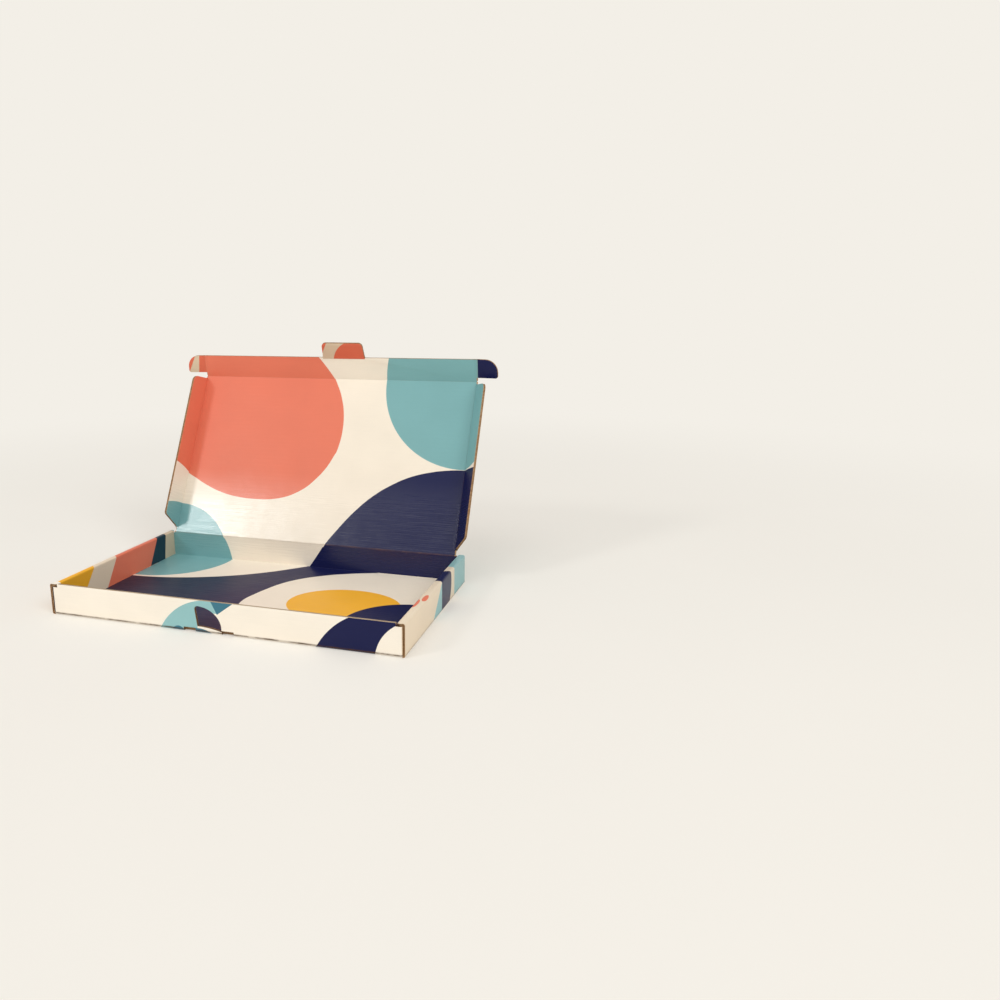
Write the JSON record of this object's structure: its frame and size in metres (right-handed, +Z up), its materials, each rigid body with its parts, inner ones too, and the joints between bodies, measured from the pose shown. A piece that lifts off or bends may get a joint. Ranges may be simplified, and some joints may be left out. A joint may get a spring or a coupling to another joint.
{
  "type": "corrugated mailer box",
  "caption": "Slim folded corrugated mailer box with roll-over side walls, standing open, its hinged lid with side flaps, front panel, ears and lock tab.",
  "frame": {"origin": "centre of the tray's underside, on the table", "axes": "+X to the right seen from the front, -Y out of the front wall, +Z up"},
  "size_m": [0.3766, 0.2901, 0.2399],
  "materials": {
    "tray_board": "printed, satin",
    "lid_board": "printed, satin",
    "front_board": "printed, satin",
    "left_flap_board": "printed, satin",
    "right_flap_board": "printed, satin",
    "ear_board": "printed, satin",
    "tab_board": "printed, satin"
  },
  "bodies": {
    "tray": {"tray": "tray_board"},
    "lid": {"lid_panel": "lid_board"},
    "front_panel": {"front_panel": "front_board"},
    "left_flap": {"left_flap": "left_flap_board"},
    "right_flap": {"right_flap": "right_flap_board"},
    "left_ear": {"left_ear": "ear_board"},
    "right_ear": {"right_ear": "ear_board"},
    "lock_tab": {"lock_tab": "tab_board"}
  },
  "joints": [
    {"name": "lid_hinge", "type": "hinge", "parent": "tray", "child": "lid", "pos_m": [0, 0.09875, 0.02875], "axis": [-1, 0, 0], "range_deg": [-118, 62]},
    {"name": "front_panel_crease", "type": "hinge", "parent": "lid", "child": "front_panel", "pos_m": [0, 0.18889, 0.19828], "axis": [1, 0, 0], "range_deg": [-28.57, 54.2]},
    {"name": "left_flap_crease", "type": "hinge", "parent": "lid", "child": "left_flap", "pos_m": [-0.16475, 0.09875, 0.02875], "axis": [0, 0.4695, 0.8829], "range_deg": [-23.32, 44.2]},
    {"name": "right_flap_crease", "type": "hinge", "parent": "lid", "child": "right_flap", "pos_m": [0.16475, 0.09875, 0.02875], "axis": [0, -0.4695, -0.8829], "range_deg": [-36.98, 70.2]},
    {"name": "left_ear_crease", "type": "hinge", "parent": "front_panel", "child": "left_ear", "pos_m": [-0.16475, 0.18889, 0.19828], "axis": [0, -0.1392, 0.9903], "range_deg": [-45.91, 87.2]},
    {"name": "right_ear_crease", "type": "hinge", "parent": "front_panel", "child": "right_ear", "pos_m": [0.16475, 0.18889, 0.19828], "axis": [0, 0.1392, -0.9903], "range_deg": [-45.91, 87.2]},
    {"name": "lock_tab_crease", "type": "hinge", "parent": "front_panel", "child": "lock_tab", "pos_m": [0.012, 0.18558, 0.22179], "axis": [1, 0, 0], "range_deg": [-42.76, 81.2]}
  ],
  "couplings": [
    {"joint": "front_panel_crease", "follows": "lid_hinge", "ratio": -0.45763},
    {"joint": "left_flap_crease", "follows": "lid_hinge", "ratio": -0.37288},
    {"joint": "right_flap_crease", "follows": "lid_hinge", "ratio": -0.59322},
    {"joint": "left_ear_crease", "follows": "lid_hinge", "ratio": -0.73729},
    {"joint": "right_ear_crease", "follows": "lid_hinge", "ratio": -0.73729},
    {"joint": "lock_tab_crease", "follows": "lid_hinge", "ratio": -0.68644}
  ]
}
